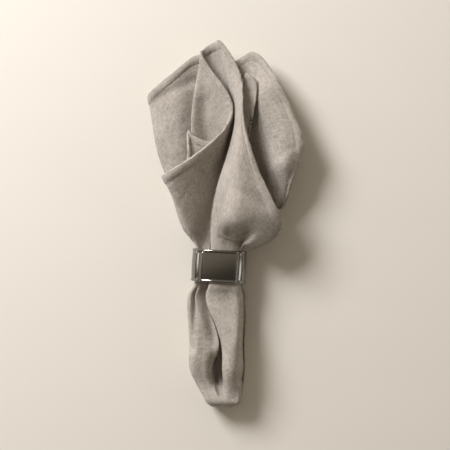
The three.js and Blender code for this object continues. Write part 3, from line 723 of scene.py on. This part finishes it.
def polished_pewter(ring):
    """Cast and polished pewter: a grey mirror with fine wipe marks, and a darker metal colour painted into
    its flutes as shade.
    """
    material, tree, shader = new_material("polished_pewter")
    place = add_node(tree, "ShaderNodeTexCoord")
    wiped = add_node(tree, "ShaderNodeMapping", {
        "Vector": place.outputs["Object"], "Scale": (1, WIPE_STRETCH, 1)})
    marks = add_node(tree, "ShaderNodeTexNoise", {
        "Vector": wiped.outputs["Vector"], "Scale": WIPE_MARKS_PER_METRE, "Detail": 4.0})
    # The hollow mask darkens the metal in the flutes: painted shade
    hollow = add_node(tree, "ShaderNodeAttribute", attribute_name="hollow")
    colour = add_node(tree, "ShaderNodeMix", {
        0: hollow.outputs["Fac"], 6: (*ring.metal, 1), 7: (*ring.painted_flute_shade, 1)}, data_type="RGBA")
    rough = add_node(tree, "ShaderNodeMapRange", {
        "Value": marks.outputs["Fac"], "To Min": 0.08, "To Max": 0.2})
    bump = add_node(tree, "ShaderNodeBump", {
        "Height": marks.outputs["Fac"], "Strength": 0.08, "Distance": WIPE_RELIEF})
    tree.links.new(colour.outputs[2], shader.inputs["Base Color"])
    tree.links.new(rough.outputs["Result"], shader.inputs["Roughness"])
    tree.links.new(bump.outputs["Normal"], shader.inputs["Normal"])
    shader.inputs["Metallic"].default_value = 1.0
    return material


def matt_paint(stage):
    """Matt cream paint on a smooth board, with faint brushed streaks."""
    material, tree, shader = new_material("matt_cream_paint")
    place = add_node(tree, "ShaderNodeTexCoord")
    streak = add_node(tree, "ShaderNodeMapping", {
        "Vector": place.outputs["Object"], "Scale": (1, STREAK_STRETCH, 1)})
    marks = add_node(tree, "ShaderNodeTexNoise", {
        "Vector": streak.outputs["Vector"], "Scale": STREAKS_PER_METRE, "Detail": 3.0})
    tones = add_node(tree, "ShaderNodeMapRange", {
        "Value": marks.outputs["Fac"], "To Min": 0.985, "To Max": 1.015})
    colour = add_node(tree, "ShaderNodeMix", {
        0: 1.0, 6: (*stage.floor_colour, 1), 7: tones.outputs["Result"]},
        data_type="RGBA", blend_type="MULTIPLY")
    tree.links.new(colour.outputs[2], shader.inputs["Base Color"])
    shader.inputs["Roughness"].default_value = 0.75
    shader.inputs["Specular IOR Level"].default_value = 0.2
    return material


def stitch_tree():
    """Geometry Nodes that lay stitches along a line on the hem, through the cloth, in line with the seam.

    A stitch is a ball one unit across, drawn out to its length, its width and the depth of the cloth.
    """
    tree = bpy.data.node_groups.new("hem_stitching", "GeometryNodeTree")
    tree.interface.new_socket(name="Geometry", in_out="INPUT", socket_type="NodeSocketGeometry")
    for name in ("Stitch pitch", "Stitch length", "Thread width", "Through"):
        tree.interface.new_socket(name=name, in_out="INPUT", socket_type="NodeSocketFloat")
    tree.interface.new_socket(name="Thread", in_out="INPUT", socket_type="NodeSocketMaterial")
    tree.interface.new_socket(name="Geometry", in_out="OUTPUT", socket_type="NodeSocketGeometry")
    given = add_node(tree, "NodeGroupInput").outputs
    line = add_node(tree, "GeometryNodeMeshToCurve", {"Mesh": given["Geometry"]})
    places = add_node(tree, "GeometryNodeCurveToPoints", {
        "Curve": line.outputs[0], "Length": given["Stitch pitch"]}, mode="LENGTH")
    cloth_up = add_node(
        tree, "GeometryNodeInputNamedAttribute", {"Name": "cloth_up"}, data_type="FLOAT_VECTOR")
    along = add_node(
        tree, "FunctionNodeAlignRotationToVector", {"Vector": places.outputs["Tangent"]}, axis="X")
    turned = add_node(tree, "FunctionNodeAlignRotationToVector", {
        "Rotation": along.outputs[0], "Vector": cloth_up.outputs[0]}, axis="Z", pivot_axis="X")
    ball = add_node(tree, "GeometryNodeMeshIcoSphere", {"Radius": 0.5, "Subdivisions": 2})
    size = add_node(tree, "ShaderNodeCombineXYZ", {
        "X": given["Stitch length"], "Y": given["Thread width"], "Z": given["Through"]})
    stitch = add_node(tree, "GeometryNodeTransform", {
        "Geometry": ball.outputs["Mesh"], "Scale": size.outputs[0]})
    laid = add_node(tree, "GeometryNodeInstanceOnPoints", {
        "Points": places.outputs["Points"], "Instance": stitch.outputs[0], "Rotation": turned.outputs[0]})
    real = add_node(tree, "GeometryNodeRealizeInstances", {"Geometry": laid.outputs[0]})
    smooth = add_node(tree, "GeometryNodeSetShadeSmooth", {"Geometry": real.outputs[0]})
    dressed = add_node(tree, "GeometryNodeSetMaterial", {
        "Geometry": smooth.outputs[0], "Material": given["Thread"]})
    add_node(tree, "NodeGroupOutput", {"Geometry": dressed.outputs[0]})
    return tree


def add_object(name, data):
    """Puts a mesh, light or camera into the scene as an object at the origin."""
    made = bpy.data.objects.new(name, data)
    bpy.context.scene.collection.objects.link(made)
    return made


def add_lamp(name, way, power, colour, width, length):
    """Hangs a soft lamp on the side that a way gives, facing the middle of the floor."""
    light = bpy.data.lights.new(name, "AREA")
    light.shape = "RECTANGLE"
    light.size = width
    light.size_y = length
    light.energy = power
    light.color = colour
    lamp = add_object(name, light)
    lamp.location = Vector(way).normalized() * LAMP_DISTANCE
    lamp.rotation_euler = (-lamp.location).to_track_quat("-Z", "Y").to_euler()


def hump(distance, half_width):
    """A smooth hump of height one at the middle and nothing at the ends."""
    return np.where(np.abs(distance) >= half_width, 0, 0.5 + 0.5 * np.cos(np.pi * distance / half_width))


def ring_mesh(name, wall_cuts):
    """The ring turned about its axis: a barrel with beads, ribs and flutes outside, and a plain bore."""
    half = RING_WIDTH / 2
    angles = np.linspace(0, 360, RING_CUTS, endpoint=False)
    outside = np.linspace(-1, 1, wall_cuts) * half
    relief = np.zeros(RING_CUTS)
    flutes = np.zeros(RING_CUTS)
    for pair in RIB_PAIR_ANGLES:
        away = (angles - pair + 180) % 360 - 180
        flute = hump(away, RIB_APART - RIB_HALF_ANGLE)
        relief += RIB_HEIGHT * hump(np.abs(away) - RIB_APART, RIB_HALF_ANGLE) - FLUTE_DEPTH * flute
        flutes += flute
    bead = BEAD_HEIGHT * hump(np.abs(outside) - (half - BEAD_WIDTH / 2), BEAD_WIDTH / 2)
    barrel = RING_END_RADIUS + RING_BULGE * (1 - (outside / half) ** 2)
    ribbed = np.clip((half - BEAD_WIDTH - np.abs(outside)) / RIB_FADE, 0, 1)
    bore = np.linspace(half, -half, BORE_CUTS)
    along = np.concatenate([outside, bore])
    radius = np.concatenate([
        (barrel + bead)[None, :] + relief[:, None] * ribbed[None, :],
        np.full((RING_CUTS, BORE_CUTS), RING_BORE_RADIUS),
    ], axis=1)
    # How far each point lies in a flute, where the metal is darkened as painted shade
    hollow = np.concatenate([flutes[:, None] * ribbed[None, :], np.zeros((RING_CUTS, BORE_CUTS))], axis=1)
    turn = np.radians(angles)[:, None]
    x = radius * np.sin(turn)
    z = radius * np.cos(turn) * RING_FLATNESS
    y = np.broadcast_to(along, radius.shape)
    lean = math.radians(RING_TURN_DEG)
    points = np.stack([
        RING_X + x * math.cos(lean) - y * math.sin(lean),
        RING_Y + x * math.sin(lean) + y * math.cos(lean),
        RING_MIDDLE_Z + z,
    ], axis=-1).reshape(-1, 3)
    rows = len(along)
    faces = []
    for column in range(RING_CUTS):
        here, there = column * rows, (column + 1) % RING_CUTS * rows
        for row in range(rows):
            up = (row + 1) % rows
            faces.append((here + row, here + up, there + up, there + row))
    mesh = bpy.data.meshes.new(name)
    mesh.from_pydata((points * MM).tolist(), [], faces)
    shade = mesh.attributes.new("hollow", "FLOAT", "POINT")
    shade.data.foreach_set("value", hollow.ravel())
    mesh.polygons.foreach_set("use_smooth", [True] * len(faces))
    mesh.update()
    return mesh


class NapkinCloth(bpy.types.PropertyGroup):
    """Sizes and colours of the linen and its stitches."""
    thickness: bpy.props.FloatProperty(
        name="Cloth thickness", description="Thickness of the single cloth",
        default=0.7 * MM, unit="LENGTH")
    hem_thickness: bpy.props.FloatProperty(
        name="Hem thickness", description="Thickness of the turned hem",
        default=2.0 * MM, unit="LENGTH")
    hem_width: bpy.props.FloatProperty(
        name="Hem width", description="Width of the turned hem",
        default=8 * MM, unit="LENGTH")
    thread_spacing: bpy.props.FloatProperty(
        name="Thread spacing", description="Drawn spacing of the threads",
        default=1.1 * MM, unit="LENGTH")
    stitch_pitch: bpy.props.FloatProperty(
        name="Stitch pitch", description="From one stitch to the next",
        default=2.6 * MM, unit="LENGTH")
    stitch_length: bpy.props.FloatProperty(
        name="Stitch length", description="Length of one stitch",
        default=2.0 * MM, unit="LENGTH")
    thread_width: bpy.props.FloatProperty(
        name="Thread width", description="Width of the sewing thread",
        default=0.4 * MM, unit="LENGTH")
    pale_thread: bpy.props.FloatVectorProperty(
        name="Pale thread", description="Colour of the paler threads",
        default=linear("c3bbb2"), subtype="COLOR")
    dark_thread: bpy.props.FloatVectorProperty(
        name="Dark thread", description="Colour of the darker threads",
        default=linear("9a9289"), subtype="COLOR")


class NapkinRing(bpy.types.PropertyGroup):
    """Fineness and colours of the ring."""
    wall_cuts: bpy.props.IntProperty(
        name="Wall cuts", description="Cuts along the outside of the ring's wall",
        default=53, min=12)
    metal: bpy.props.FloatVectorProperty(
        name="Metal", description="Colour of the polished metal",
        default=linear("8f8c88"), subtype="COLOR")
    # The darker colour of the flutes is painted shade
    painted_flute_shade: bpy.props.FloatVectorProperty(
        name="Painted_flute_shade", description="Colour of the metal in its hollows",
        default=linear("6d6862"), subtype="COLOR")


class NapkinStage(bpy.types.PropertyGroup):
    """Floor and light."""
    floor_colour: bpy.props.FloatVectorProperty(
        name="Floor colour", description="Colour of the painted board",
        default=linear("ece7de"), subtype="COLOR")
    key_power: bpy.props.FloatProperty(
        name="Key power", description="Power of the key light",
        default=25, unit="POWER")
    key_colour: bpy.props.FloatVectorProperty(
        name="Key colour", description="Colour of the key light",
        default=(1.0, 0.995, 1.0), subtype="COLOR")
    key_size: bpy.props.FloatProperty(
        name="Key size", description="Side of the soft key light",
        default=0.6, unit="LENGTH")
    strip_power: bpy.props.FloatProperty(
        name="Strip power", description="Power of each strip light that shows in the ring",
        default=0.7, unit="POWER")
    strip_colour: bpy.props.FloatVectorProperty(
        name="Strip colour", description="Colour of the strip lights",
        default=(1.0, 1.0, 1.0), subtype="COLOR")
    fill_strength: bpy.props.FloatProperty(
        name="Fill strength", description="Strength of the light from all round",
        default=0.8)
    fill_colour: bpy.props.FloatVectorProperty(
        name="Fill colour", description="Colour of the light from all round",
        default=(1.0, 0.87, 0.69), subtype="COLOR")


class NAPKIN_OT_build_cloth(bpy.types.Operator):
    """Build the folded linen napkin and the stitches of its hem"""
    bl_idname = "napkin.build_cloth"
    bl_label = "Build napkin"

    def execute(self, context):
        cloth = context.scene.napkin_cloth
        grid, flat, seam = cloth_surface(cloth.hem_width / MM)
        mesh = cloth_mesh(
            "napkin_linen", grid, flat, seam, cloth.thickness / MM, cloth.hem_thickness / MM)
        mesh.materials.append(washed_linen(cloth))
        napkin = add_object("napkin_linen", mesh)

        sewn_level = STITCHED_ROW - len(HEM_PROFILE)
        seam_row = grid[:, sewn_level] * MM
        count = len(seam_row)
        edges = [(index, (index + 1) % count) for index in range(count)]
        line = bpy.data.meshes.new("hem_stitches")
        line.from_pydata(seam_row.tolist(), edges, [])
        cloth_up = line.attributes.new("cloth_up", "FLOAT_VECTOR", "POINT")
        cloth_up.data.foreach_set("vector", grid_normals(grid)[:, sewn_level].ravel())
        stitches = add_object("hem_stitches", line)
        tree = stitch_tree()
        laid = stitches.modifiers.new("Stitches", "NODES")
        laid.node_group = tree
        values = {
            "Stitch pitch": cloth.stitch_pitch,
            "Stitch length": cloth.stitch_length,
            "Thread width": cloth.thread_width,
            "Through": HEM_PROFILE[STITCHED_ROW][2] * cloth.hem_thickness + cloth.thread_width,
            "Thread": linen_thread(cloth),
        }
        for socket in tree.interface.items_tree:
            if socket.name in values:
                laid[socket.identifier] = values[socket.name]
        depsgraph = context.evaluated_depsgraph_get()
        sewn = bpy.data.meshes.new_from_object(
            stitches.evaluated_get(depsgraph), depsgraph=depsgraph)
        if not sewn.polygons:
            raise RuntimeError("the hem has no stitches")
        stitches.modifiers.clear()
        stitches.data = sewn

        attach(napkin, "root")
        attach(stitches, "root")
        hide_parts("napkin")
        return {"FINISHED"}


class NAPKIN_OT_build_ring(bpy.types.Operator):
    """Build the polished ring with its beads, ribs and flutes"""
    bl_idname = "napkin.build_ring"
    bl_label = "Build ring"

    def execute(self, context):
        sizes = context.scene.napkin_ring
        mesh = ring_mesh("polished_ring", sizes.wall_cuts)
        mesh.materials.append(polished_pewter(sizes))
        ring = add_object("polished_ring", mesh)
        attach(ring, "root")
        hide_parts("ring")
        return {"FINISHED"}


class NAPKIN_OT_build_stage(bpy.types.Operator):
    """Build the floor, the soft studio light and the camera that looks straight down"""
    bl_idname = "napkin.build_stage"
    bl_label = "Build stage"

    def execute(self, context):
        stage = context.scene.napkin_stage
        near, far = -FLOOR_REACH, FLOOR_REACH
        corners = [(near, near, 0), (far, near, 0), (far, far, 0), (near, far, 0)]
        mesh = bpy.data.meshes.new("painted_board")
        mesh.from_pydata(corners, [], [(0, 1, 2, 3)])
        mesh.materials.append(matt_paint(stage))
        add_object("painted_board", mesh)

        add_lamp("soft_key", KEY_WAY, stage.key_power, stage.key_colour, stage.key_size, stage.key_size)
        for name, way in STRIP_LIGHTS:
            add_lamp(name, way, stage.strip_power, stage.strip_colour, STRIP_WIDTH, STRIP_LENGTH)

        world = bpy.data.worlds.new("studio")
        world.use_nodes = True
        tree = world.node_tree
        tree.nodes.clear()
        direction = add_node(tree, "ShaderNodeTexCoord")
        parts = add_node(tree, "ShaderNodeSeparateXYZ", {"Vector": direction.outputs["Generated"]})
        share = add_node(
            tree, "ShaderNodeMapRange", {"Value": parts.outputs["Y"], "From Min": -1.0})
        studio = add_node(tree, "ShaderNodeValToRGB", {"Fac": share.outputs["Result"]})
        stops = studio.color_ramp.elements
        while len(stops) < len(STUDIO_LIGHT):
            stops.new(0.5)
        for stop, (_, along, brightness) in zip(stops, STUDIO_LIGHT):
            stop.position = (along + 1) / 2
            stop.color = (*[brightness * part for part in stage.fill_colour], 1)
        fill = add_node(tree, "ShaderNodeBackground", {
            "Color": studio.outputs["Color"], "Strength": stage.fill_strength})
        add_node(tree, "ShaderNodeOutputWorld", {"Surface": fill.outputs[0]})
        context.scene.world = world

        camera = add_object("camera", bpy.data.cameras.new("camera"))
        camera.data.lens = CAMERA_LENS
        camera.location = (0, 0, CAMERA_HEIGHT)
        context.scene.camera = camera
        context.scene.view_settings.view_transform = "Standard"
        return {"FINISHED"}


class NAPKIN_PT_sidebar(bpy.types.Panel):
    """Lists the sizes, colours and steps of the napkin"""
    bl_idname = "NAPKIN_PT_sidebar"
    bl_label = "Napkin in a ring"
    bl_space_type = "VIEW_3D"
    bl_region_type = "UI"
    bl_category = "Napkin"

    def draw(self, context):
        for group, operator in (
            ("napkin_cloth", "napkin.build_cloth"),
            ("napkin_ring", "napkin.build_ring"),
            ("napkin_stage", "napkin.build_stage"),
        ):
            sizes = getattr(context.scene, group)
            column = self.layout.column()
            for name in type(sizes).__annotations__:
                column.prop(sizes, name)
            column.operator(operator)


CLASSES = (
    NapkinCloth,
    NapkinRing,
    NapkinStage,
    NAPKIN_OT_build_cloth,
    NAPKIN_OT_build_ring,
    NAPKIN_OT_build_stage,
    NAPKIN_PT_sidebar,
)


def register():
    """Registers the classes and hangs their settings on the scene."""
    for made in CLASSES:
        bpy.utils.register_class(made)
    bpy.types.Scene.napkin_cloth = bpy.props.PointerProperty(type=NapkinCloth)
    bpy.types.Scene.napkin_ring = bpy.props.PointerProperty(type=NapkinRing)
    bpy.types.Scene.napkin_stage = bpy.props.PointerProperty(type=NapkinStage)


def unregister():
    """Takes the settings off the scene and unregisters the classes."""
    del bpy.types.Scene.napkin_stage
    del bpy.types.Scene.napkin_ring
    del bpy.types.Scene.napkin_cloth
    for made in reversed(CLASSES):
        bpy.utils.unregister_class(made)


def main():
    """Builds everything in order."""
    register()
    bpy.ops.napkin.build_stage()
    bpy.ops.napkin.build_ring()
    bpy.ops.napkin.build_cloth()


if __name__ == "__main__":
    main()
